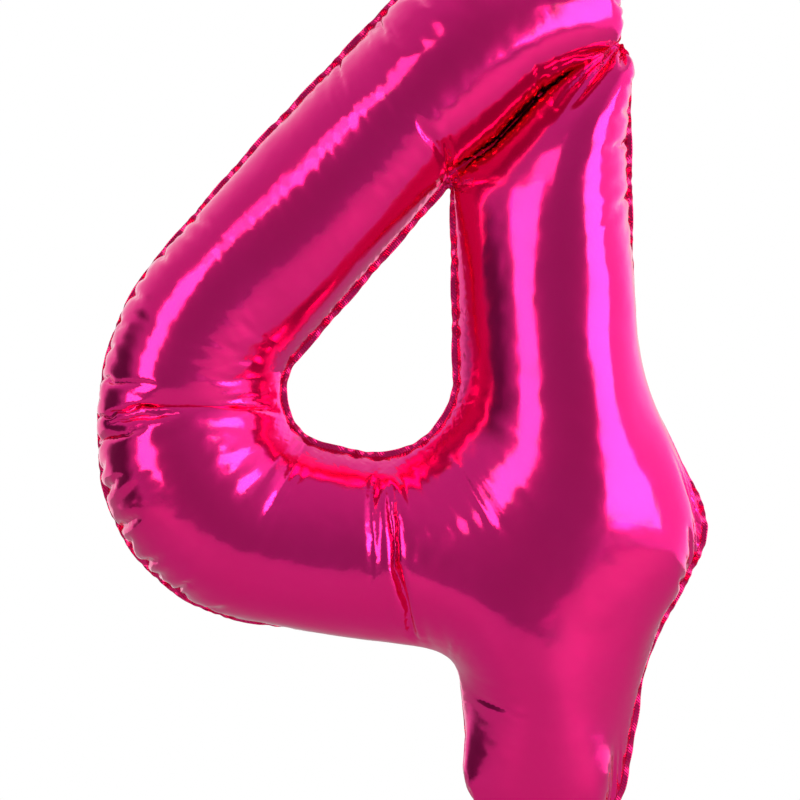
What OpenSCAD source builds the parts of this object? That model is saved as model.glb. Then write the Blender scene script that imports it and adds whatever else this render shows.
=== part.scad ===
// Foil number balloon, figure 4, filled.
// Two foil panels are welded to each other along a flat margin, round the outline and
// round the eye of the figure. A two-ply film valve enters through the margin at the foot.
// Millimetres. X is across the figure, Y is its depth (front is -Y), Z is up.
// The origin is the centre of the hanging hole at the top.

/* [Figure] */
// Overall width of the filled figure, with its welded margin
number_w = 612; // [520:1:740]
// Overall height of the filled figure, with its welded margin
number_h = 873; // [740:1:1060]
// Half the width of the stem, with its margin, which every other limb is in proportion to
limb_r = 93; // [80:1:108]
// Half the depth of the swelling where the crossbar passes through the stem
swell_depth = 115; // [100:1:135]
// Width of the slit where the diagonal and the stem press on each other
slit_gap = 1.2; // [0.8:0.1:3]

/* [Foil] */
// Thickness of one foil panel
film_t = 0.6; // [0.5:0.1:1]
// Width of the welded margin
margin_w = 6; // [4:0.5:10]

/* [Hanging tabs] */
// Radius of a tab's round end
tab_r = 10; // [8:0.5:16]
// Distance from a tab's fold to the centre of its round end
tab_l = 9; // [6:0.5:20]
// Radius of the hole in a tab
tab_hole_r = 2.5; // [1.5:0.1:4]
// Where the upper tab sits round the top, in degrees to the left of straight up
top_tab_turn = 23; // [16:1:26]
// Where the lower tab sits round the foot, in degrees to the right of straight down
foot_tab_turn = 36; // [28:1:60]

/* [Filling neck] */
// Length of the neck
neck_l = 46; // [38:1:70]
// Radius of the filling hole in the neck's front ply
fill_hole_r = 6; // [4:0.5:8]
// Distance from the filling hole's centre to the neck's free end
fill_hole_up = 16; // [13:1:20]
// Width of the weld along the neck's sides and end
neck_weld_w = 4; // [3:0.5:5]

/* [Valve] */
// Width of the valve
valve_w = 22; // [16:1:26]
// Length of the valve inside the balloon, from the edge of the margin
valve_l = 150; // [100:5:200]
// Thickness of one valve film
valve_t = 0.2; // [0.15:0.05:0.3]
// Thickness of the release coat and of the side welds between the valve films
coat_t = 0.1; // [0.1:0.05:0.2]
// Length of the release coat
coat_l = 40; // [25:1:60]
// Width of each side weld of the valve
valve_weld_w = 2.5; // [1.5:0.5:4]
// Room in the neck beside the valve, on each side
valve_side_room = 2; // [1:0.5:8]

/* [Clearances] */
// Clearance at a fold, between the folding piece and the margin's edge
fold_gap = 0.3; // [0.2:0.05:0.4]
// Clearance on each side of the valve where it passes through the margin
valve_gap = 0.5; // [0.3:0.1:1]

/* [Hidden] */
// The neck is as wide as the valve, its side room and the neck's two side welds
neck_w = valve_w + 2 * (valve_side_room + neck_weld_w);

facets = 32; // of the swept limbs

// The limbs as drawn on a 612 x 873 figure with 93 mm limbs: [across, up, radius] at each station,
// where the radius reaches the margin's outer edge. The crossbar meets the stem at zero.
drawn_limb_r = 93;
drawn_diagonal = [
    [29, 522, 48], [-25, 496, 70], [-75, 469, 85], [-127, 436, 91], [-208, 352, 87],
    [-254, 302, 87], [-294, 254, 86], [-329, 203, 87], [-348, 148, 91], [-348, 92, 98],
    [-331, 49, 102], [-297, 17, 101], [-236, -5, 95], [-190, -11, 95], [-115, -11, 96],
    [-45, -7, 99], [0, 0, 100]
];
drawn_stem = [
    [60, 459, 29], [42, 419, 47], [24, 374, 65], [9, 334, 82], [1, 297, 91],
    [1, 226, 93], [2, 171, 94], [2, 113, 97], [0, 0, 100]
];
drawn_stub = [[0, 0, 100], [75, 6, 90]];
drawn_leg = [[0, 0, 100], [8, -106, 97], [9, -166, 93], [7, -191, 90], [4, -215, 87]];
// Limbs that round the corners where the crossbar, its stub and the stem meet
drawn_corners = [
    [[2, 114, 95], [75, 6, 90]],
    [[75, 6, 90], [8, -106, 95]],
    [[2, 114, 88], [-83, -7, 88]],
    [[-63, -11, 95], [8, -106, 95]]
];
drawn_slit = [[-85, 342], [2, 439], [55, 484], [90, 500]];
drawn_swell = [0, 0, 138];

// What the drawing is stretched by, so that the outline measures number_w by number_h
fat = limb_r / drawn_limb_r;
drawn_left = drawn_diagonal[9];
drawn_right = drawn_stub[1];
drawn_top = drawn_diagonal[0];
drawn_foot = drawn_leg[4];
wide = (number_w - fat * (drawn_left[2] + drawn_right[2])) / (drawn_right[0] - drawn_left[0]);
tall = (number_h - fat * (drawn_top[2] + drawn_foot[2])) / (drawn_top[1] - drawn_foot[1]);

function real(station) = [station[0] * wide, station[1] * tall, station[2] * fat];
function real_all(stations) = [for (s = stations) real(s)];

diagonal = real_all(drawn_diagonal);
stub = real_all(drawn_stub);
stem = real_all(drawn_stem);
leg = real_all(drawn_leg);
corners = [for (c = drawn_corners) real_all(c)];
slit = [for (p = drawn_slit) [p[0] * wide, p[1] * tall]];
swell = real(drawn_swell);
foot = leg[len(leg) - 1];

margin_t = 2 * film_t;
fold_r = margin_t / 2;
deep = 3 * swell_depth; // longer than the figure is deep, for cutting blocks
far = number_w + number_h; // larger than the figure, for cutting blocks

// The fold of a tab that stands on a station's round edge: [across, up, direction]
function fold_at(station, direction) =
    let (reach = station[2] + fold_gap + fold_r)
    [station[0] + reach * cos(direction), station[1] + reach * sin(direction), direction];

top_fold = fold_at(diagonal[2], 90 + top_tab_turn);
foot_fold = fold_at(foot, -90 + foot_tab_turn);
inner_half = valve_t + coat_t / 2; // half the thickness of the valve
neck_r = inner_half + film_t; // half the thickness of the neck, and the radius of its fold
margin_edge = foot[1] - foot[2];
mouth_l = neck_l - fill_hole_up; // the valve's back lip ends at the middle of the filling hole
neck_fold = [foot[0], margin_edge - fold_gap - neck_r, -90];

hang_hole = [
    top_fold[0] + tab_l * cos(top_fold[2]),
    top_fold[1] + tab_l * sin(top_fold[2])
];

// ---- the filled shape ----

// Every module below takes its inset from the margin's outer edge.

module bead(station, inset) {
    translate([station[0], 0, station[1]])
        rotate([90, 0, 0]) sphere(r = station[2] - inset, $fn = facets);
}

module limb(stations, inset) {
    for (i = [0:len(stations) - 2])
        hull() {
            bead(stations[i], inset);
            bead(stations[i + 1], inset);
        }
}

// Everything on the diagonal's side of the slit, and a given distance past it
module above_slit(distance) {
    upright(deep)
        offset(delta = distance)
            polygon([
                each slit,
                slit[3] + [far, 0],
                slit[3] + [far, far],
                slit[0] + [-far, far],
                slit[0] + [-far, 0]
            ]);
}

// Everything on the stem's side of the slit, and a given distance past it
module below_slit(distance) {
    upright(deep)
        offset(delta = distance)
            polygon([
                each slit,
                slit[3] + [far, 0],
                [slit[3][0] + far, slit[0][1] - limb_r],
                slit[0] + [0, -limb_r]
            ]);
}

module filled(inset) {
    half_gap = slit_gap / 2 + inset - margin_w;
    difference() {
        limb(diagonal, inset);
        below_slit(half_gap);
    }
    difference() {
        union() {
            limb(stem, inset);
            limb(leg, inset);
            limb(stub, inset);
            for (c = corners)
                limb(c, inset);
            translate([swell[0], 0, swell[1]])
                scale([1, (swell_depth + margin_w - inset) / (swell[2] - inset), 1])
                    sphere(r = swell[2] - inset, $fn = facets);
        }
        above_slit(half_gap);
    }
}

// One foil panel: the filled shape's skin in front of the margin
module skin() {
    intersection() {
        difference() {
            filled(margin_w);
            filled(margin_w + film_t);
        }
        translate([-far, -deep, -far]) cube([2 * far, deep - margin_t / 2, 2 * far]);
    }
}

// ---- the welded margin ----

module upright(thickness) {
    rotate([90, 0, 0]) linear_extrude(height = thickness, center = true) children();
}

module outline(inset) {
    projection(cut = true) rotate([-90, 0, 0]) filled(inset);
}

module margin_band() {
    difference() {
        offset(r = margin_w, $fn = facets) outline(margin_w);
        outline(margin_w + film_t);
    }
}

// The middle line of the limbs round the eye
module eye_loop() {
    polygon([
        for (s = diagonal) [s[0], s[1]],
        for (i = [len(stem) - 2:-1:0]) [stem[i][0], stem[i][1]]
    ]);
}

// ---- tabs, neck and valve, each drawn upright from its fold and turned into place ----

module stand_on(fold) {
    translate([fold[0], 0, fold[1]]) rotate([0, 90 - fold[2], 0]) children();
}

module hang_tab(fold) {
    stand_on(fold)
        difference() {
            union() {
                translate([-tab_r, -margin_t / 2, 0]) cube([2 * tab_r, margin_t, tab_l]);
                translate([0, 0, tab_l])
                    rotate([90, 0, 0]) cylinder(r = tab_r, h = margin_t, center = true, $fn = 64);
                translate([-tab_r, 0, 0])
                    rotate([0, 90, 0]) cylinder(r = fold_r, h = 2 * tab_r, $fn = 32);
            }
            translate([0, 0, tab_l])
                rotate([90, 0, 0]) cylinder(r = tab_hole_r, h = 3 * margin_t, center = true, $fn = 48);
        }
}

// The neck's whole thickness, with its round fold
module neck_block() {
    translate([-neck_w / 2, -neck_r, 0]) cube([neck_w, 2 * neck_r, neck_l]);
    translate([-neck_w / 2, 0, 0])
        rotate([0, 90, 0]) cylinder(r = neck_r, h = neck_w, $fn = 32);
}

// The layer of the neck between two depths
module neck_layer(front, back) {
    intersection() {
        neck_block();
        translate([-neck_w, front, -2 * neck_r]) cube([2 * neck_w, back - front, neck_l + 4 * neck_r]);
    }
}

module neck_front_ply() {
    color("deeppink")
        stand_on(neck_fold)
            difference() {
                neck_layer(-neck_r, -inner_half);
                translate([0, -inner_half, neck_l - fill_hole_up])
                    rotate([90, 0, 0]) cylinder(r = fill_hole_r, h = 3 * film_t, center = true, $fn = 64);
            }
}

module neck_back_ply() {
    color("deeppink") stand_on(neck_fold) neck_layer(inner_half, neck_r);
}

module neck_weld() {
    color("mediumvioletred")
        stand_on(neck_fold)
            difference() {
                translate([-neck_w / 2, -inner_half, 0]) cube([neck_w, 2 * inner_half, neck_l]);
                translate([-neck_w / 2 + neck_weld_w, -neck_r, -neck_weld_w])
                    cube([neck_w - 2 * neck_weld_w, 2 * neck_r, neck_l]);
            }
}

module valve_mouth_front() {
    color("gainsboro")
        stand_on(neck_fold)
            translate([-valve_w / 2, -inner_half, 0]) cube([valve_w, valve_t, mouth_l - fill_hole_r / 2]);
}

module valve_mouth_back() {
    color("gainsboro")
        stand_on(neck_fold)
            translate([-valve_w / 2, inner_half - valve_t, 0]) cube([valve_w, valve_t, mouth_l]);
}

// A flat strip of the valve inside the balloon, standing on the edge of the margin
module valve_strip(left, width, front, thickness, length) {
    translate([foot[0] + left, front, margin_edge]) cube([width, thickness, length]);
}

module valve_front_film() {
    color("gainsboro") valve_strip(-valve_w / 2, valve_w, -inner_half, valve_t, valve_l);
}

module valve_back_film() {
    color("gainsboro") valve_strip(-valve_w / 2, valve_w, coat_t / 2, valve_t, valve_l);
}

module valve_side_welds() {
    color("silver")
        for (left = [-valve_w / 2, valve_w / 2 - valve_weld_w])
            valve_strip(left, valve_weld_w, -coat_t / 2, coat_t, valve_l);
}

module valve_release_coat() {
    color("slategray")
        valve_strip(valve_weld_w - valve_w / 2, valve_w - 2 * valve_weld_w, -coat_t / 2, coat_t, coat_l);
}

// ---- the envelope's pieces ----

module front_panel() {
    color("deeppink") skin();
}

module back_panel() {
    color("deeppink") mirror([0, 1, 0]) skin();
}

module outer_margin() {
    color("mediumvioletred")
        difference() {
            upright(margin_t)
                difference() {
                    margin_band();
                    eye_loop();
                }
            translate([foot[0] - valve_w / 2 - valve_gap, -inner_half, margin_edge - margin_w])
                cube([valve_w + 2 * valve_gap, 2 * inner_half, 4 * margin_w]);
        }
}

module eye_margin() {
    color("mediumvioletred")
        upright(margin_t)
            intersection() {
                margin_band();
                eye_loop();
            }
}

module hang_tab_top() {
    color("mediumvioletred") hang_tab(top_fold);
}

module hang_tab_foot() {
    color("mediumvioletred") hang_tab(foot_fold);
}

module from_hang_hole() {
    translate([-hang_hole[0], 0, -hang_hole[1]]) children();
}

from_hang_hole() front_panel();
from_hang_hole() back_panel();
from_hang_hole() outer_margin();
from_hang_hole() eye_margin();
from_hang_hole() hang_tab_top();
from_hang_hole() hang_tab_foot();
from_hang_hole() neck_front_ply();
from_hang_hole() neck_back_ply();
from_hang_hole() neck_weld();
from_hang_hole() valve_mouth_front();
from_hang_hole() valve_mouth_back();
from_hang_hole() valve_front_film();
from_hang_hole() valve_back_film();
from_hang_hole() valve_side_welds();
from_hang_hole() valve_release_coat();
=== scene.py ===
"""Foil number balloon, figure four, filled and hanging by its upper tab.

The film is cut flat, laid double, welded round its outline and its eye, and blown up.
Everything is in metres in the balloon's own frame: +Z is up and the front faces -Y.
The outline below is in millimetres, as a pattern cutter would mark it.
"""

import math

import bpy
import numpy as np
from mathutils import Matrix, Vector, geometry
from mathutils.kdtree import KDTree


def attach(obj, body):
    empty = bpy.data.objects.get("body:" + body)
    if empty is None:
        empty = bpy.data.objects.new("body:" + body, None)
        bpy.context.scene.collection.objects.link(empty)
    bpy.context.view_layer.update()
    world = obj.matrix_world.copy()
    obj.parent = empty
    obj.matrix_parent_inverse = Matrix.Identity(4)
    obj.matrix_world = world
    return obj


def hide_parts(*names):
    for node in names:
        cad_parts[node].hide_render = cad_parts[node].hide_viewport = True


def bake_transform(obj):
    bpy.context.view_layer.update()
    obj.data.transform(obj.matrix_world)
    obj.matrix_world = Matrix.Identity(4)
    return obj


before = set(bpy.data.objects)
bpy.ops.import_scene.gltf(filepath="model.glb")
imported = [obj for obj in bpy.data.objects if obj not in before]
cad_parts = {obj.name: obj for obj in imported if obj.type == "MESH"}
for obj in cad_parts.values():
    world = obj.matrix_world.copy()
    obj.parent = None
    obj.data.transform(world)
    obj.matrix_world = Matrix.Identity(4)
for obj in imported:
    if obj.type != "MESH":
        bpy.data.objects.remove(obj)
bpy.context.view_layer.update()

MM = 0.001

# ---------------------------------------------------------------------------
# The pattern: each corner as it is cut flat, and where it lies once the figure
# is full. A corner is x, z and the radius that rounds it, in millimetres.
# ---------------------------------------------------------------------------
OUTLINE = {
    "notch at the slit": ((189, -65, 8), (185, -65, 8)),
    "stem shoulder": ((256, -76, 24), (195, -81, 20)),
    "over the stub": ((293, -426, 39), (199, -405, 95)),
    "stub end": ((344, -548, 114), (281, -550, 66)),
    "under the stub": ((260, -727, 14), (213, -675, 60)),
    "foot right": ((228, -915, 115), (184, -851, 56)),
    "foot left": ((-6, -915, 117), (48, -851, 58)),
    "inner corner": ((-14, -742, 12), (32, -670, 12)),
    "elbow underside": ((-404, -690, 245), (-327, -621, 172)),
    "elbow top": ((-406, -320, 315), (-328, -350, 250)),
    "diagonal": ((-235, -120, 400), (-175, -173, 400)),
    "head left": ((-44, 94, 190), (-7, 4, 120)),
    "head right": ((246, 94, 98), (183, 4, 55)),
}
EYE = {
    "eye top": ((29, -203, 6), (24, -196, 6)),
    "eye right": ((15, -491, 72), (28, -498, 80)),
    "eye left": ((-192, -443, 48), (-200, -453, 57)),
}
SLIT_LINE = [(26, -206), (69, -167), (114, -118), (142, -93), (167, -74), (185, -65)]

# Sizes in millimetres, as the outline is.
WELD_WIDTH = 6.0
WELD_ROWS = (-0.6, 1.6, 3.8, WELD_WIDTH)
SLIT_ROWS = (-2.0, -0.6, 0.6, 2.0)
FILM_STEP = 6.0
GATHER_REACH = 70
PUFF_REACH = 30

# Shares of the film's step, and slopes.
GRID_NUDGE = 0.18
SLIT_CLEAR = 0.5
WELD_CLEAR = 0.62
FIRST_PUFF = 0.25

# The filling.
FILL_FRAMES = 10
DRAW_IN_FRAMES = 6
GAS_PRESSURE = 900
SEAM_HOLD = 0.95
ROOT_HOLD = 1.0

# The weld's thickness in metres, and how it leans in and out, in radians.
WELD_THICK = 0.0008
LEAN_MOST = 0.9
LEAN_WAVE = 0.31
LEAN_DRIFT = 0.047

# Where the tabs and the neck fold: a point on the hinge and the way out from the balloon.
TOP_FOLD = ((0.003517, 0, -0.008285), (-0.390731, 0, 0.920505))
FOOT_FOLD = ((0.167933, 0, -0.843397), (0.587785, 0, -0.809017))
NECK_FOLD = ((0.116267, 0, -0.860434), (0, 0, -1))
ROOT_FLAT = 0.021


# ---------------------------------------------------------------------------
# Drawing the pattern
# ---------------------------------------------------------------------------
def corner_arcs(corners):
    """Each rounded corner as its arc's start, end, centre and turn."""
    arcs = []
    count = len(corners)
    for index, (x, z, radius) in enumerate(corners):
        tip = Vector((x, z))
        to_last = (Vector(corners[index - 1][:2]) - tip).normalized()
        to_next = (Vector(corners[(index + 1) % count][:2]) - tip).normalized()
        half = to_last.angle(to_next) / 2
        centre = tip + (to_last + to_next).normalized() * (radius / math.sin(half))
        start = tip + to_last * (radius / math.tan(half))
        end = tip + to_next * (radius / math.tan(half))
        turn = -(start - centre).angle_signed(end - centre)
        arcs.append((start, end, centre, turn))
    return arcs


def steps_along(corners, step):
    """How many points each arc and each straight run takes."""
    arcs = corner_arcs(corners)
    counts = []
    for index, (start, end, centre, turn) in enumerate(arcs):
        following = arcs[(index + 1) % len(arcs)][0]
        on_arc = max(2, round(abs(turn) * (start - centre).length / step))
        on_run = max(1, round((following - end).length / step))
        counts.append((on_arc, on_run))
    return counts


def trace(corners, counts):
    """Points round a closed line of rounded corners."""
    arcs = corner_arcs(corners)
    points = []
    for index, (start, end, centre, turn) in enumerate(arcs):
        on_arc, on_run = counts[index]
        following = arcs[(index + 1) % len(arcs)][0]
        for k in range(on_arc):
            spoke = start - centre
            spoke.rotate(Matrix.Rotation(turn * k / on_arc, 2))
            points.append(centre + spoke)
        for k in range(on_run):
            points.append(end.lerp(following, k / on_run))
    return np.array([tuple(point) for point in points])


def lengths_round(loop):
    """The length of each step round a closed line."""
    return np.linalg.norm(np.roll(loop, -1, axis=0) - loop, axis=1)


def share_evenly(flat, full, anchors, reach):
    """Slide the full figure's points along its line, so that the film gathers evenly."""
    before = lengths_round(flat)
    after = lengths_round(full)
    offsets = np.arange(-reach, reach + 1)
    spread = np.exp(-0.5 * (offsets / (reach / 2.5)) ** 2)
    spread /= spread.sum()
    after_round = np.r_[after[-reach:], after, after[:reach]]
    before_round = np.r_[before[-reach:], before, before[:reach]]
    gather = after_round / before_round
    wanted = np.convolve(gather, spread, "valid") * before
    run = np.r_[0, np.cumsum(after)]
    stops = list(anchors) + [len(flat)]
    marks = []
    for first, last in zip(stops[:-1], stops[1:]):
        part = np.r_[0, np.cumsum(wanted[first:last])]
        marks.append(run[first] + part[:-1] * (run[last] - run[first]) / part[-1])
    marks = np.concatenate(marks)
    round_again = np.vstack([full, full[:1]])
    return np.stack([np.interp(marks, run, round_again[:, k]) for k in (0, 1)], axis=1)


def trace_both(shape, step, fixed_corner):
    """A closed line as cut flat, and the same points once the figure is full.

    The line's first point and the middle of the fixed corner keep their places.
    """
    flat = [pair[0] for pair in shape.values()]
    full = [pair[1] for pair in shape.values()]
    counts = steps_along(flat, step)
    fixed = list(shape).index(fixed_corner)
    before = sum(arc + run for arc, run in counts[:fixed])
    anchors = (0, before + counts[fixed][0] // 2)
    flat_line = trace(flat, counts)
    full_line = trace(full, counts)
    reach = round(GATHER_REACH / step)
    return flat_line, share_evenly(flat_line, full_line, anchors, reach)


def even_line(points, step):
    """An open line cut into equal steps."""
    line = np.array(points, float)
    run = np.r_[0, np.cumsum(np.linalg.norm(np.diff(line, axis=0), axis=1))]
    marks = np.linspace(0, run[-1], round(run[-1] / step) + 1)
    return np.stack([np.interp(marks, run, line[:, k]) for k in (0, 1)], axis=1)


def lies_inside(loop, points):
    """Which points lie inside a closed line."""
    hit = np.zeros(len(points), bool)
    for (x1, z1), (x2, z2) in zip(loop, np.roll(loop, -1, axis=0)):
        if z1 == z2:
            continue
        crosses = (z1 > points[:, 1]) != (z2 > points[:, 1])
        hit ^= crosses & (points[:, 0] < (x2 - x1) * (points[:, 1] - z1) / (z2 - z1) + x1)
    return hit


def nearest_gap(points, others):
    """The distance from each point to the nearest of the others, and which one."""
    tree = KDTree(len(others))
    for index, (x, z) in enumerate(others):
        tree.insert((x, z, 0), index)
    tree.balance()
    found = [tree.find((x, z, 0)) for x, z in points]
    return np.array([f[2] for f in found]), np.array([f[1] for f in found])


def film_grid(loop, step):
    """Staggered rows of points over the film, each nudged a little."""
    chance = np.random.default_rng(seed=4)
    low = loop.min(axis=0)
    high = loop.max(axis=0)
    between_rows = step * math.sqrt(3) / 2
    rows = []
    for row, z in enumerate(np.arange(low[1], high[1], between_rows)):
        x = np.arange(low[0] + step / 2 * (row % 2), high[0], step)
        rows.append(np.stack([x, np.full(len(x), z)], axis=1))
    grid = np.vstack(rows)
    return grid + chance.uniform(-GRID_NUDGE, GRID_NUDGE, grid.shape) * step


def closed_edges(first, count):
    """The edges of a ring of points, numbered from its first."""
    return [(first + k, first + (k + 1) % count) for k in range(count)]


def cut_pattern(step):
    """The flat film as triangles, with its welded lines and where they go when full."""
    seam, seam_full = trace_both(OUTLINE, step, "inner corner")
    eye, eye_full = trace_both(EYE, step, "eye right")
    slit = even_line(SLIT_LINE, step)
    clear = nearest_gap(slit, np.vstack([seam, eye]))[0] > SLIT_CLEAR * step
    slit = slit[clear]
    welds = np.vstack([seam, eye, slit])
    first_eye = len(seam)
    first_slit = first_eye + len(eye)
    eye_end = first_eye + int(np.argmin(np.linalg.norm(eye - slit[0], axis=1)))
    notch_end = int(np.argmin(np.linalg.norm(seam - slit[-1], axis=1)))
    edges = closed_edges(0, len(seam)) + closed_edges(first_eye, len(eye))
    edges += [(first_slit + k, first_slit + k + 1) for k in range(len(slit) - 1)]
    edges += [(eye_end, first_slit), (len(welds) - 1, notch_end)]
    grid = film_grid(seam, step)
    grid = grid[lies_inside(seam, grid) & ~lies_inside(eye, grid)]
    grid = grid[nearest_gap(grid, welds)[0] > WELD_CLEAR * step]
    points = [Vector(point) for point in np.vstack([welds, grid])]
    flat, _, faces, _, _, _ = geometry.delaunay_2d_cdt(points, edges, [], 0, 1e-6)
    flat = np.array([tuple(point) for point in flat])
    faces = np.array(faces)
    middle = flat[faces].mean(axis=1)
    faces = faces[lies_inside(seam, middle) & ~lies_inside(eye, middle)]
    one = flat[faces[:, 1]] - flat[faces[:, 0]]
    two = flat[faces[:, 2]] - flat[faces[:, 0]]
    leftward = one[:, 0] * two[:, 1] - one[:, 1] * two[:, 0] > 0
    faces = np.where(leftward[:, None], faces, faces[:, ::-1])
    return {
        "flat": flat,
        "faces": faces,
        "full": np.vstack([seam_full, eye_full]),
        "seam": np.arange(len(seam)),
        "eye": np.arange(first_eye, first_slit),
        "slit": np.r_[eye_end, np.arange(first_slit, len(welds)), notch_end],
        "welds": welds,
    }


# ---------------------------------------------------------------------------
# Blowing the figure up
# ---------------------------------------------------------------------------
def lay_double(pattern):
    """The two sheets, joined at the welds, with a first breath of gas between them."""
    flat = pattern["flat"]
    welded = np.arange(len(flat)) < len(pattern["welds"])
    free = np.flatnonzero(~welded)
    behind = np.arange(len(flat))
    behind[free] = len(flat) + np.arange(len(free))
    gap, nearest = nearest_gap(flat, pattern["welds"])
    puff = FIRST_PUFF * np.minimum(gap, PUFF_REACH) * ~welded
    front = np.stack([flat[:, 0], -puff, flat[:, 1]], axis=1)
    back = np.stack([flat[free, 0], puff[free], flat[free, 1]], axis=1)
    points = np.vstack([front, back]) * MM
    front_faces = pattern["faces"]
    back_faces = behind[front_faces][:, ::-1]
    reach = np.r_[gap, gap[free]]
    along = np.r_[nearest, nearest[free]] * FILM_STEP
    return points, front_faces, back_faces, reach, along


def held_seams(skin, pattern, points):
    """Draw the welded lines in, from where they were cut to where they end up."""
    loops = len(pattern["full"])
    goal = points.copy()
    goal[:loops, 0] = pattern["full"][:, 0] * MM
    goal[:loops, 2] = pattern["full"][:, 1] * MM
    skin.shape_key_add(name="flat")
    key = skin.shape_key_add(name="drawn in")
    key.data.foreach_set("co", goal.astype(np.float32).ravel())
    key.value = 0
    key.keyframe_insert("value", frame=1)
    key.value = 1
    key.keyframe_insert("value", frame=DRAW_IN_FRAMES)
    group = skin.vertex_groups.new(name="welded")
    group.add(list(range(loops)), SEAM_HOLD, "REPLACE")
    at_roots = np.flatnonzero(from_roots(goal[:loops]) == 0)
    group.add(at_roots.tolist(), ROOT_HOLD, "REPLACE")


def blow_up(skin):
    """Cloth with gas pressure, run until the figure is tight."""
    cloth = skin.modifiers.new("gas", "CLOTH")
    film = cloth.settings
    film.quality = 6
    film.mass = 0.01
    film.air_damping = 1.0
    film.tension_stiffness = 50
    film.compression_stiffness = 2
    film.shear_stiffness = 4
    film.bending_stiffness = 0.05
    film.tension_damping = 5
    film.compression_damping = 5
    film.shear_damping = 5
    film.bending_damping = 0.5
    film.vertex_group_mass = "welded"
    film.pin_stiffness = 20
    film.use_pressure = True
    film.uniform_pressure_force = GAS_PRESSURE
    film.effector_weights.gravity = 0
    cloth.collision_settings.use_collision = False
    cloth.point_cache.frame_start = 1
    cloth.point_cache.frame_end = FILL_FRAMES
    for number in range(1, FILL_FRAMES + 1):
        bpy.context.scene.frame_set(number)
    graph = bpy.context.evaluated_depsgraph_get()
    filled = skin.evaluated_get(graph).data
    points = np.empty(len(filled.vertices) * 3, np.float32)
    filled.vertices.foreach_get("co", points)
    return points.reshape(-1, 3).astype(float)


def fill_figure(pattern):
    """The full figure's points, with the faces of its front and back sheets."""
    points, front, back, reach, along = lay_double(pattern)
    mesh = bpy.data.meshes.new("film laid flat")
    mesh.from_pydata(points.tolist(), [], np.vstack([front, back]).tolist())
    skin = bpy.data.objects.new("film laid flat", mesh)
    bpy.context.scene.collection.objects.link(skin)
    bpy.context.scene.frame_start = 1
    bpy.context.scene.frame_end = FILL_FRAMES
    held_seams(skin, pattern, points)
    filled = blow_up(skin)
    bpy.data.objects.remove(skin)
    bpy.context.scene.frame_set(1)
    return filled, front, back, reach, along


# ---------------------------------------------------------------------------
# Making pieces
# ---------------------------------------------------------------------------
def finish_piece(piece, material, body, node):
    """Give a piece its material, attach it to its body when that body is given by name, and hide
    the CAD part it stands for.
    """
    piece.data.materials.clear()
    piece.data.materials.append(material)
    if isinstance(body, str):
        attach(piece, body)
    else:
        fold_with(piece, *body)
    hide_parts(node)


def apply_all(piece):
    """Apply a piece's modifiers one by one."""
    bpy.ops.object.select_all(action="DESELECT")
    bpy.context.view_layer.objects.active = piece
    piece.select_set(True)
    for name in [modifier.name for modifier in piece.modifiers]:
        bpy.ops.object.modifier_apply(modifier=name)
    bpy.ops.object.shade_smooth()
    piece.select_set(False)


def rounded_off(piece):
    """One level of subdivision, applied after the modifiers that are already there."""
    smooth = piece.modifiers.new("rounded", "SUBSURF")
    smooth.levels = 1
    smooth.render_levels = 1
    apply_all(piece)


def new_piece(name, points, faces):
    """A mesh object from rows of points and faces."""
    mesh = bpy.data.meshes.new(name)
    mesh.from_pydata(np.asarray(points).tolist(), [], np.asarray(faces).tolist())
    mesh.update()
    piece = bpy.data.objects.new(name, mesh)
    bpy.context.scene.collection.objects.link(piece)
    return piece


def note_on_points(piece, name, values):
    """A number for each point, which the foil's pucker pattern reads."""
    layer = piece.data.attributes.new(name, "FLOAT", "POINT")
    layer.data.foreach_set("value", np.asarray(values, np.float32))


def film_panel(name, points, faces, reach, along):
    """One sheet of the filled figure as its own piece."""
    used = np.unique(faces)
    place = np.zeros(len(points), int)
    place[used] = np.arange(len(used))
    panel = new_piece(name, points[used], place[faces])
    note_on_points(panel, "reach", reach[used])
    note_on_points(panel, "along", along[used])
    rounded_off(panel)
    return panel


def sideways(line, closed):
    """Level directions square to a line, on its right-hand side."""
    if closed:
        ahead = np.roll(line, -2, axis=0) - np.roll(line, 2, axis=0)
    else:
        ahead = np.gradient(line, axis=0)
    ahead[:, 1] = 0
    ahead /= np.linalg.norm(ahead, axis=1, keepdims=True)
    return np.stack([ahead[:, 2], np.zeros(len(ahead)), -ahead[:, 0]], axis=1)


def enclosed_area(line):
    """Twice the area inside a closed line; its sign tells which way the line runs."""
    ahead = np.roll(line, -1, axis=0)
    return float(np.sum(line[:, 0] * ahead[:, 2] - ahead[:, 0] * line[:, 2]))


def from_roots(line):
    """0 where a tab or the neck leaves the margin, rising to 1 well away from them."""
    origins = np.array([fold[0] for fold in (TOP_FOLD, FOOT_FOLD, NECK_FOLD)])
    gap = np.linalg.norm(line[:, None] - origins[None], axis=2).min(axis=1)
    return np.clip((gap - ROOT_FLAT) / ROOT_FLAT, 0, 1)


def weld_ribbon(line, outward, widths, closed, first=0):
    """Rows of points beside a welded line, and the faces between them."""
    count = len(line)
    around = np.r_[0, np.cumsum(np.linalg.norm(np.diff(line, axis=0), axis=1))] / MM
    swing = LEAN_MOST * from_roots(line)
    rows = []
    for width in widths:
        lean = swing * np.sin(around * LEAN_WAVE) * np.sin(around * LEAN_DRIFT + 1)
        row = line + outward * (width * MM * np.cos(lean))[:, None]
        row[:, 1] += width * MM * np.sin(lean)
        rows.append(row)
    faces = []
    last = count if closed else count - 1
    for row in range(len(widths) - 1):
        for k in range(last):
            here = first + row * count
            over = here + count
            ahead = (k + 1) % count
            faces.append((here + k, here + ahead, over + ahead, over + k))
    return np.vstack(rows), faces


def thicken(piece, thickness):
    """Give a film its thickness, half on each side, and round it off."""
    wall = piece.modifiers.new("double film", "SOLIDIFY")
    wall.thickness = thickness
    wall.offset = 0
    rounded_off(piece)


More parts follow.
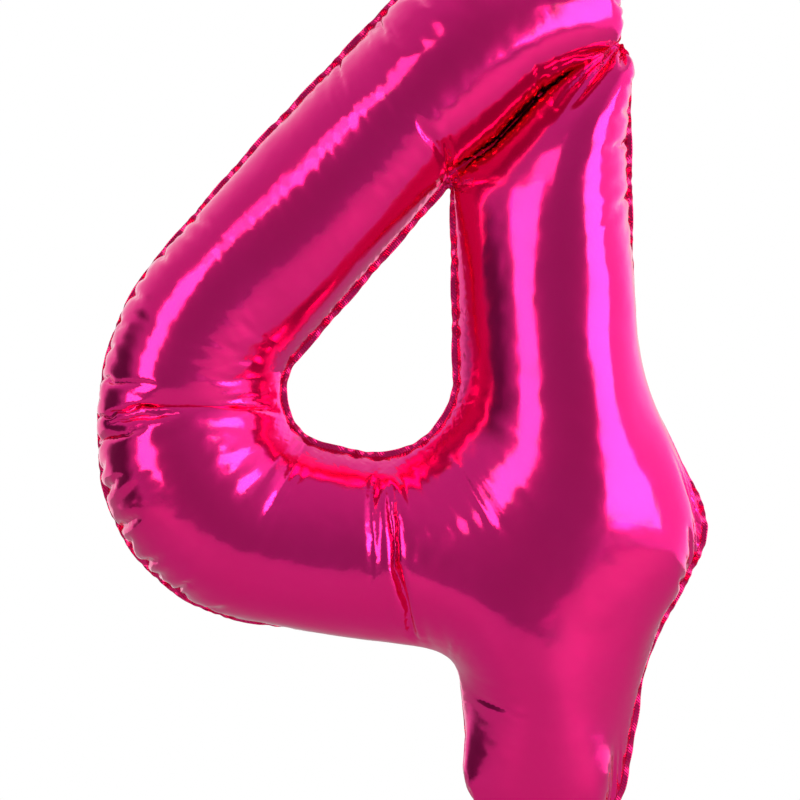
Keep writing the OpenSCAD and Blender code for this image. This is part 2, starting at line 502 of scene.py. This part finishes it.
def margin_round_outline(points, pattern):
    """The weld round the figure's outline, standing out from the seam."""
    line = points[pattern["seam"]]
    outward = sideways(line, closed=True)
    if enclosed_area(line) < 0:
        outward = -outward
    rows, faces = weld_ribbon(line, outward, WELD_ROWS, closed=True)
    margin = new_piece("outer_margin_film", rows, faces)
    thicken(margin, WELD_THICK)
    return margin


def margin_round_eye(points, pattern):
    """The eye's weld, with the strip that closes the slit."""
    line = points[pattern["eye"]]
    inward = -sideways(line, closed=True)
    if enclosed_area(line) < 0:
        inward = -inward
    rows, faces = weld_ribbon(line, inward, WELD_ROWS, closed=True)
    slit = points[pattern["slit"]]
    across = sideways(slit, closed=False)
    strip, strip_faces = weld_ribbon(slit, across, SLIT_ROWS, closed=False, first=len(rows))
    margin = new_piece("eye_margin_film", np.vstack([rows, strip]), faces + strip_faces)
    thicken(margin, WELD_THICK)
    return margin


# ---------------------------------------------------------------------------
# Tabs and filling neck, set at the balloon's edge
# ---------------------------------------------------------------------------
ROUND_SIDES = 32

TAB_LENGTH = 0.009
TAB_HALF = 0.010
TAB_HOLE = 0.0025
TAB_RIM = 0.0015
TAB_ROOT_STEPS = (0.0022, 0.0022, 0.0023, 0.0023)
TAB_THICK = 0.0011
TAB_RIPPLE = 0.0004
TAB_RIPPLES = 420
TAB_RIPPLE_START = 200

NECK_HALF = 0.017
NECK_LENGTH = 0.046
NECK_ROOT = 0.006
NECK_WELD = 0.004
NECK_WELD_THICK = 0.0005
NECK_WELD_PROUD = 0.001
NECK_WELD_SPREAD = 1.03
NECK_PLY_THICK = 0.0003
NECK_PLY_GAP = 0.0003
NECK_ROOT_GAP = 0.00045
NECK_BELLY = 0.0004
NECK_CREASE = 0.00012
NECK_CREASES = (900, 260)
FILL_HOLE = 0.006
FILL_HOLE_RIM = 0.0012
FILL_HOLE_FROM_FOLD = 0.030
RING_SHARE = 0.8
BELOW_HOLE = 0.018
BELOW_HOLE_STEPS = (0.003, 0.003, 0.003, 0.003, 0.003, 0.003)


def punched_disc(name, radius, rim, ring):
    """A flat ring of film round a punched hole, lying in the XY plane."""
    bpy.ops.object.select_all(action="DESELECT")
    bpy.ops.mesh.primitive_circle_add(
        vertices=ROUND_SIDES, radius=radius, fill_type="NOTHING"
    )
    piece = bpy.context.active_object
    piece.name = name
    bpy.ops.object.mode_set(mode="EDIT")
    bpy.ops.mesh.select_all(action="SELECT")
    size = radius
    for wider in (rim, ring):
        growth = wider / size
        bpy.ops.mesh.extrude_region_move()
        bpy.ops.transform.resize(value=(growth, growth, 1), center_override=(0, 0, 0))
        size = wider
    bpy.ops.object.mode_set(mode="OBJECT")
    return piece


def extrude_edge(piece, level, distances):
    """Draw the film out in -Y from its edge at a level, a step at a time."""
    for distance in distances:
        bpy.ops.object.mode_set(mode="EDIT")
        bpy.ops.mesh.select_mode(type="EDGE")
        bpy.ops.mesh.select_all(action="DESELECT")
        bpy.ops.object.mode_set(mode="OBJECT")
        points = piece.data.vertices
        for edge in piece.data.edges:
            edge.select = all(abs(points[k].co.y - level) < 1e-5 for k in edge.vertices)
        bpy.ops.object.mode_set(mode="EDIT")
        bpy.ops.mesh.extrude_region_move(
            TRANSFORM_OT_translate={"value": (0, -distance, 0)}
        )
        bpy.ops.object.mode_set(mode="OBJECT")
        level -= distance


def squared_below(piece, ring, half, level):
    """Carry the lower half of the ring's outer edge down to a straight line."""
    for point in piece.data.vertices:
        if point.co.length > ring * 0.99 and point.co.y < ring * 0.01:
            share = point.co.x / ring
            at_side = abs(share) > 0.999
            point.co = (half * share, min(0, point.co.y) if at_side else level, 0)


def squared_above(piece, ring, half, level):
    """Carry the upper half of the ring's outer edge up to a straight line."""
    for point in piece.data.vertices:
        if point.co.length > ring * 0.99 and point.co.y > ring * 0.01:
            point.co = (half * point.co.x / ring, level, 0)


def stand_at(piece, origin, outward):
    """Turn a piece drawn in XY, with +Y outward, into the balloon's plane at a fold."""
    across = Vector(outward).cross(Vector((0, 1, 0)))
    turned = Matrix((across, outward, across.cross(Vector(outward)))).transposed()
    piece.data.transform(Matrix.Translation(Vector(origin)) @ turned.to_4x4())
    piece.data.update()


def make_double(piece, thickness):
    """Film thickness and a soft edge."""
    bpy.ops.object.select_all(action="DESELECT")
    bpy.context.view_layer.objects.active = piece
    piece.select_set(True)
    bpy.ops.object.mode_set(mode="EDIT")
    bpy.ops.mesh.select_all(action="SELECT")
    bpy.ops.mesh.remove_doubles(threshold=1e-6)
    bpy.ops.mesh.normals_make_consistent(inside=False)
    bpy.ops.object.mode_set(mode="OBJECT")
    thicken(piece, thickness)


def hanging_tab(name, fold):
    """A rounded tab with a punched hole, welded into the margin by its root."""
    origin, outward = fold
    piece = punched_disc(name, TAB_HOLE, TAB_HOLE + TAB_RIM, TAB_HALF)
    squared_below(piece, TAB_HALF, TAB_HALF, -TAB_LENGTH)
    extrude_edge(piece, -TAB_LENGTH, TAB_ROOT_STEPS)
    for point in piece.data.vertices:
        up = point.co.y + TAB_LENGTH
        level_at_fold = min(1, abs(up) * TAB_RIPPLE_START)
        point.co.z = TAB_RIPPLE * math.sin(up * TAB_RIPPLES) * level_at_fold
    hole = Vector(origin) + Vector(outward) * TAB_LENGTH
    stand_at(piece, hole, outward)
    make_double(piece, TAB_THICK)
    return piece


def punched_ply(name):
    """The front ply, drawn from the punched filling hole out to its edges."""
    end = NECK_LENGTH - FILL_HOLE_FROM_FOLD
    ring = end * RING_SHARE
    piece = punched_disc(name, FILL_HOLE, FILL_HOLE + FILL_HOLE_RIM, ring)
    squared_below(piece, ring, NECK_HALF, -BELOW_HOLE)
    squared_above(piece, ring, NECK_HALF, end)
    extrude_edge(piece, -BELOW_HOLE, BELOW_HOLE_STEPS)
    return piece


def plain_ply(name):
    """The back ply, an oblong of film without a hole."""
    end = NECK_LENGTH - FILL_HOLE_FROM_FOLD
    span = NECK_LENGTH + NECK_ROOT
    bpy.ops.mesh.primitive_grid_add(x_subdivisions=12, y_subdivisions=18, size=1)
    piece = bpy.context.active_object
    piece.name = name
    for point in piece.data.vertices:
        point.co = (point.co.x * 2 * NECK_HALF, point.co.y * span + end - span / 2, 0)
    return piece


def neck_ply(name, side, punched):
    """One ply of the filling neck, which bellies a little between its welds."""
    bpy.ops.object.select_all(action="DESELECT")
    piece = punched_ply(name) if punched else plain_ply(name)
    for point in piece.data.vertices:
        inward = 1 - (abs(point.co.x) / NECK_HALF) ** 4
        from_fold = point.co.y + FILL_HOLE_FROM_FOLD
        along_neck = min(1, max(0, from_fold / NECK_LENGTH))
        belly = NECK_BELLY * max(0, math.sin(math.pi * along_neck))
        wave = point.co.x * NECK_CREASES[0] + from_fold * NECK_CREASES[1]
        crease = NECK_CREASE * math.sin(wave)
        root = NECK_ROOT_GAP if from_fold < 0.001 else NECK_PLY_GAP
        point.co.z = side * (root + (belly + crease) * inward)
    origin = Vector(NECK_FOLD[0]) + Vector(NECK_FOLD[1]) * FILL_HOLE_FROM_FOLD
    stand_at(piece, origin, NECK_FOLD[1])
    make_double(piece, NECK_PLY_THICK)
    return piece


def neck_seal(name):
    """The weld round the neck's two sides and its end."""
    bpy.ops.object.select_all(action="DESELECT")
    bpy.ops.mesh.primitive_plane_add(size=1)
    piece = bpy.context.active_object
    piece.name = name
    span = NECK_LENGTH + NECK_WELD_PROUD
    width = 2 * NECK_WELD_SPREAD * NECK_HALF
    for point in piece.data.vertices:
        point.co = (point.co.x * width, point.co.y * span + span / 2, 0)
    bpy.ops.object.mode_set(mode="EDIT")
    bpy.ops.mesh.select_all(action="SELECT")
    bpy.ops.mesh.inset(thickness=NECK_WELD)
    bpy.ops.mesh.delete(type="FACE")
    bpy.ops.mesh.select_all(action="DESELECT")
    bpy.ops.object.mode_set(mode="OBJECT")
    for face in piece.data.polygons:
        face.select = face.center.y < NECK_WELD
    bpy.ops.object.mode_set(mode="EDIT")
    bpy.ops.mesh.delete(type="FACE")
    bpy.ops.mesh.select_all(action="SELECT")
    bpy.ops.mesh.subdivide(number_cuts=5)
    bpy.ops.object.mode_set(mode="OBJECT")
    stand_at(piece, NECK_FOLD[0], NECK_FOLD[1])
    make_double(piece, NECK_WELD_THICK)
    return piece


def fold_with(piece, body, fold):
    """Bake the piece's placement into its points."""
    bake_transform(piece)


# ---------------------------------------------------------------------------
# Finishes
# ---------------------------------------------------------------------------
FOIL_PINK = (0.94, 0.012, 0.235, 1)
FOIL_ROSE = (0.96, 0.018, 0.29, 1)
WELD_PINK = (0.55, 0.008, 0.10, 1)
MILK = (0.80, 0.82, 0.84, 1)
PALE_MILK = (0.90, 0.91, 0.92, 1)
COAT_GREY = (0.30, 0.31, 0.33, 1)
PALE_COAT_GREY = (0.38, 0.39, 0.41, 1)
FLOOR_GREY = (0.50, 0.50, 0.50, 1)
PALE_FLOOR_GREY = (0.54, 0.54, 0.54, 1)


def new_material(name):
    """A material with its nodes, links and shader."""
    material = bpy.data.materials.new(name)
    material.use_nodes = True
    nodes = material.node_tree.nodes
    return material, nodes, material.node_tree.links, nodes["Principled BSDF"]


def noise(nodes, links, place, scale, detail, roughness=0.5):
    """Cloudy noise, read at a place."""
    texture = nodes.new("ShaderNodeTexNoise")
    texture.inputs["Scale"].default_value = scale
    texture.inputs["Detail"].default_value = detail
    texture.inputs["Roughness"].default_value = roughness
    links.new(place, texture.inputs["Vector"])
    return texture.outputs["Fac"]


def arithmetic(nodes, links, operation, first, second):
    """Add, multiply and so on, of sockets or plain numbers."""
    node = nodes.new("ShaderNodeMath")
    node.operation = operation
    for socket, value in zip(node.inputs, (first, second)):
        if isinstance(value, (int, float)):
            socket.default_value = value
        else:
            links.new(value, socket)
    return node.outputs["Value"]


def between(nodes, links, value, low, high, new_low, new_high):
    """A value carried from one range to another."""
    node = nodes.new("ShaderNodeMapRange")
    node.inputs["From Min"].default_value = low
    node.inputs["From Max"].default_value = high
    node.inputs["To Min"].default_value = new_low
    node.inputs["To Max"].default_value = new_high
    links.new(value, node.inputs["Value"])
    return node.outputs["Result"]


def attribute(nodes, name):
    """A number that the film's points carry."""
    node = nodes.new("ShaderNodeAttribute")
    node.attribute_name = name
    return node.outputs["Fac"]


def two_tints(nodes, links, shader, one, two, share):
    """A base colour that drifts from one tint to another."""
    tint = nodes.new("ShaderNodeMix")
    tint.data_type = "RGBA"
    tint.inputs["A"].default_value = one
    tint.inputs["B"].default_value = two
    links.new(share, tint.inputs["Factor"])
    links.new(tint.outputs["Result"], shader.inputs["Base Color"])


def raise_surface(nodes, links, shader, height, distance):
    """Relief of a height in metres, from a pattern of 0 to 1."""
    bump = nodes.new("ShaderNodeBump")
    bump.inputs["Strength"].default_value = 1.0
    bump.inputs["Distance"].default_value = distance
    links.new(height, bump.inputs["Height"])
    links.new(bump.outputs["Normal"], shader.inputs["Normal"])


def puckers(nodes, links, place):
    """Fine pleats square to the welds, which fade out over 38 mm."""
    near_weld = between(nodes, links, attribute(nodes, "reach"), 2.0, 38.0, 1.0, 0.0)
    pleats = arithmetic(nodes, links, "MULTIPLY", attribute(nodes, "along"), 0.55)
    drift = arithmetic(nodes, links, "MULTIPLY", noise(nodes, links, place, 30, 2), 5.0)
    wave = arithmetic(nodes, links, "SINE", arithmetic(nodes, links, "ADD", pleats, drift), 0)
    faded = arithmetic(nodes, links, "MULTIPLY", wave, near_weld)
    return arithmetic(nodes, links, "MULTIPLY", faded, 0.10)


def mirror_foil():
    """Pink metallised film: a tinted mirror under a clear lacquer, finely puckered by its welds."""
    material, nodes, links, shader = new_material("pink mirror foil")
    place = nodes.new("ShaderNodeTexCoord").outputs["Object"]
    shader.inputs["Metallic"].default_value = 1.0
    shader.inputs["Coat Weight"].default_value = 0.18
    shader.inputs["Coat Roughness"].default_value = 0.04
    share = noise(nodes, links, place, 9, 3)
    two_tints(nodes, links, shader, FOIL_PINK, FOIL_ROSE, share)
    cloud = noise(nodes, links, place, 26, 4, 0.6)
    links.new(between(nodes, links, cloud, 0.3, 0.7, 0.10, 0.18), shader.inputs["Roughness"])
    ripple = noise(nodes, links, place, 16, 2)
    grain = arithmetic(nodes, links, "MULTIPLY", noise(nodes, links, place, 110, 3, 0.6), 0.02)
    height = arithmetic(nodes, links, "ADD", ripple, grain)
    height = arithmetic(nodes, links, "ADD", height, puckers(nodes, links, place))
    raise_surface(nodes, links, shader, height, 0.0022)
    return material


def welded_foil():
    """The same film pressed flat by the sealing bar, with the bar's fine diagonal ribs."""
    material, nodes, links, shader = new_material("pressed foil weld")
    place = nodes.new("ShaderNodeTexCoord").outputs["Object"]
    shader.inputs["Metallic"].default_value = 1.0
    shader.inputs["Coat Weight"].default_value = 0.2
    share = noise(nodes, links, place, 60, 3)
    two_tints(nodes, links, shader, WELD_PINK, FOIL_PINK, share)
    worn = noise(nodes, links, place, 140, 2)
    links.new(between(nodes, links, worn, 0.3, 0.7, 0.14, 0.3), shader.inputs["Roughness"])
    ribs = nodes.new("ShaderNodeTexWave")
    ribs.bands_direction = "DIAGONAL"
    ribs.inputs["Scale"].default_value = 190
    ribs.inputs["Distortion"].default_value = 0.4
    links.new(place, ribs.inputs["Vector"])
    raise_surface(nodes, links, shader, ribs.outputs["Fac"], 0.0002)
    return material


def valve_film():
    """Thin milky film of the filling valve."""
    material, nodes, links, shader = new_material("milky valve film")
    place = nodes.new("ShaderNodeTexCoord").outputs["Object"]
    share = noise(nodes, links, place, 70, 3)
    two_tints(nodes, links, shader, MILK, PALE_MILK, share)
    shader.inputs["Roughness"].default_value = 0.28
    shader.inputs["Transmission Weight"].default_value = 0.35
    shader.inputs["IOR"].default_value = 1.5
    raise_surface(nodes, links, shader, noise(nodes, links, place, 90, 3), 0.0006)
    return material


def release_coat():
    """Matt heat-proof coat printed inside the valve."""
    material, nodes, links, shader = new_material("grey release coat")
    place = nodes.new("ShaderNodeTexCoord").outputs["Object"]
    share = noise(nodes, links, place, 160, 3)
    two_tints(nodes, links, shader, COAT_GREY, PALE_COAT_GREY, share)
    shader.inputs["Roughness"].default_value = 0.6
    raise_surface(nodes, links, shader, noise(nodes, links, place, 260, 2), 0.0002)
    return material


# ---------------------------------------------------------------------------
# Studio
# ---------------------------------------------------------------------------
VIEW_CENTRE = Vector((-0.0306, 0.0, -0.4233))
VIEW_DISTANCE = 3.2
VIEW_WIDTH = 0.8
SENSOR_WIDTH = 36

LAMP_AIM = (0, 0, -0.42)
LAMP_COLOUR = (1.0, 0.98, 0.68)
FLOOR_SIZE = 4.2
FLOOR_LEVEL = -1.12

# What the foil mirrors: greys from the front of the room to its back, and across it.
FRONT_TO_BACK = ((0.0, 0.31), (0.08, 0.37), (0.25, 0.48), (0.5, 0.57), (0.75, 0.80), (1.0, 1.0))
ACROSS = ((0.0, 0.10), (0.02, 0.10), (0.07, 0.5), (0.72, 0.5), (0.86, 1.0), (1.0, 1.0))
ROOM_STRENGTH = 2.0


def set_camera():
    """A level camera in front of the balloon, whose view is as wide as VIEW_WIDTH."""
    data = bpy.data.cameras.new("camera")
    data.sensor_width = SENSOR_WIDTH
    data.lens = SENSOR_WIDTH * VIEW_DISTANCE / VIEW_WIDTH
    camera = bpy.data.objects.new("camera", data)
    bpy.context.scene.collection.objects.link(camera)
    camera.location = VIEW_CENTRE - Vector((0, VIEW_DISTANCE, 0))
    camera.rotation_euler = (math.radians(90), 0, 0)
    bpy.context.scene.camera = camera


def soft_box(name, place, width, height, power):
    """A rectangular lamp that faces the figure's middle."""
    data = bpy.data.lights.new(name, "AREA")
    data.shape = "RECTANGLE"
    data.size = width
    data.size_y = height
    data.energy = power
    data.color = LAMP_COLOUR
    lamp = bpy.data.objects.new(name, data)
    bpy.context.scene.collection.objects.link(lamp)
    lamp.location = place
    ahead = Vector(LAMP_AIM) - Vector(place)
    lamp.rotation_euler = ahead.to_track_quat("-Z", "Y").to_euler()


def grey_ramp(nodes, links, value, shades):
    """Greys along one axis of the room."""
    ramp = nodes.new("ShaderNodeValToRGB")
    stops = ramp.color_ramp.elements
    first, *middle, last = shades
    for stop, (position, shade) in zip(list(stops), (first, last)):
        stop.position = position
        stop.color = (shade, shade, shade, 1)
    for position, shade in middle:
        stops.new(position).color = (shade, shade, shade, 1)
    links.new(between(nodes, links, value, -1, 1, 0, 1), ramp.inputs["Fac"])
    return ramp.outputs["Color"]


def room_shade(nodes, links):
    """The room that the foil mirrors: dim in front, paler behind and to one side."""
    direction = nodes.new("ShaderNodeTexCoord").outputs["Generated"]
    split = nodes.new("ShaderNodeSeparateXYZ")
    links.new(direction, split.inputs["Vector"])
    shaded = nodes.new("ShaderNodeMix")
    shaded.data_type = "RGBA"
    shaded.blend_type = "MULTIPLY"
    shaded.inputs["Factor"].default_value = 1.0
    links.new(grey_ramp(nodes, links, split.outputs["Y"], FRONT_TO_BACK), shaded.inputs["A"])
    links.new(grey_ramp(nodes, links, split.outputs["X"], ACROSS), shaded.inputs["B"])
    brought_up = nodes.new("ShaderNodeVectorMath")
    brought_up.operation = "SCALE"
    brought_up.inputs["Scale"].default_value = ROOM_STRENGTH
    links.new(shaded.outputs["Result"], brought_up.inputs[0])
    return brought_up.outputs["Vector"]


def light_room():
    """A room that is white to the camera, with a graded one for the foil, and three lamps."""
    world = bpy.data.worlds.new("pale room")
    bpy.context.scene.world = world
    world.use_nodes = True
    nodes = world.node_tree.nodes
    links = world.node_tree.links
    background = nodes["Background"]
    mix = nodes.new("ShaderNodeMix")
    mix.data_type = "RGBA"
    mix.inputs["B"].default_value = (1, 1, 1, 1)
    seen = nodes.new("ShaderNodeLightPath").outputs["Is Camera Ray"]
    links.new(seen, mix.inputs["Factor"])
    links.new(room_shade(nodes, links), mix.inputs["A"])
    links.new(mix.outputs["Result"], background.inputs["Color"])
    background.inputs["Strength"].default_value = 1.0
    soft_box("window left", (-1.5, -1.61, 0.1), width=0.85, height=1.5, power=13)
    soft_box("window right", (1.75, -1.3, 0.05), width=1.25, height=1.6, power=25)
    soft_box("upper left light", (-1.1, -1.6, 1.0), width=0.9, height=0.45, power=2.5)


def pale_floor():
    """A wide pale floor well under the hanging figure."""
    bpy.ops.object.select_all(action="DESELECT")
    bpy.ops.mesh.primitive_plane_add(size=FLOOR_SIZE, location=(0, 0, FLOOR_LEVEL))
    floor = bpy.context.active_object
    floor.name = "floor"
    bpy.ops.object.transform_apply(location=True, rotation=True, scale=True)
    material, nodes, links, shader = new_material("pale floor")
    place = nodes.new("ShaderNodeTexCoord").outputs["Object"]
    share = noise(nodes, links, place, 2, 2)
    two_tints(nodes, links, shader, FLOOR_GREY, PALE_FLOOR_GREY, share)
    shader.inputs["Roughness"].default_value = 0.7
    floor.data.materials.append(material)


# ---------------------------------------------------------------------------
# Putting it together
# ---------------------------------------------------------------------------
def recoat(node, material):
    """Give a carried-over piece its finish."""
    for slot in bpy.data.objects[node].material_slots:
        slot.material = material


bpy.context.scene.view_settings.view_transform = "Standard"
bpy.ops.object.select_all(action="DESELECT")
set_camera()
light_room()
pale_floor()

foil = mirror_foil()
pressed = welded_foil()
milky = valve_film()
coat = release_coat()

pattern = cut_pattern(FILM_STEP)
filled, front_faces, back_faces, reach, along = fill_figure(pattern)

front = film_panel("front_film", filled, front_faces, reach, along)
finish_piece(front, foil, "envelope", "front_panel")
back = film_panel("back_film", filled, back_faces, reach, along)
finish_piece(back, foil, "envelope", "back_panel")

outer = margin_round_outline(filled, pattern)
finish_piece(outer, pressed, "envelope", "outer_margin")
inner = margin_round_eye(filled, pattern)
finish_piece(inner, pressed, "envelope", "eye_margin")

top_tab = hanging_tab("top_tab_film", TOP_FOLD)
finish_piece(top_tab, pressed, ("top_tab", TOP_FOLD), "hang_tab_top")
foot_tab = hanging_tab("foot_tab_film", FOOT_FOLD)
finish_piece(foot_tab, pressed, ("foot_tab", FOOT_FOLD), "hang_tab_foot")
neck_front = neck_ply("neck_front_film", -1, punched=True)
finish_piece(neck_front, foil, ("neck", NECK_FOLD), "neck_front_ply")
neck_back = neck_ply("neck_back_film", 1, punched=False)
finish_piece(neck_back, foil, ("neck", NECK_FOLD), "neck_back_ply")
seal = neck_seal("neck_weld_film")
finish_piece(seal, pressed, "neck", "neck_weld")

for side in ("front", "back"):
    recoat("valve_mouth_" + side, milky)
    recoat("valve_" + side + "_film", milky)
recoat("valve_side_welds", milky)
recoat("valve_release_coat", coat)
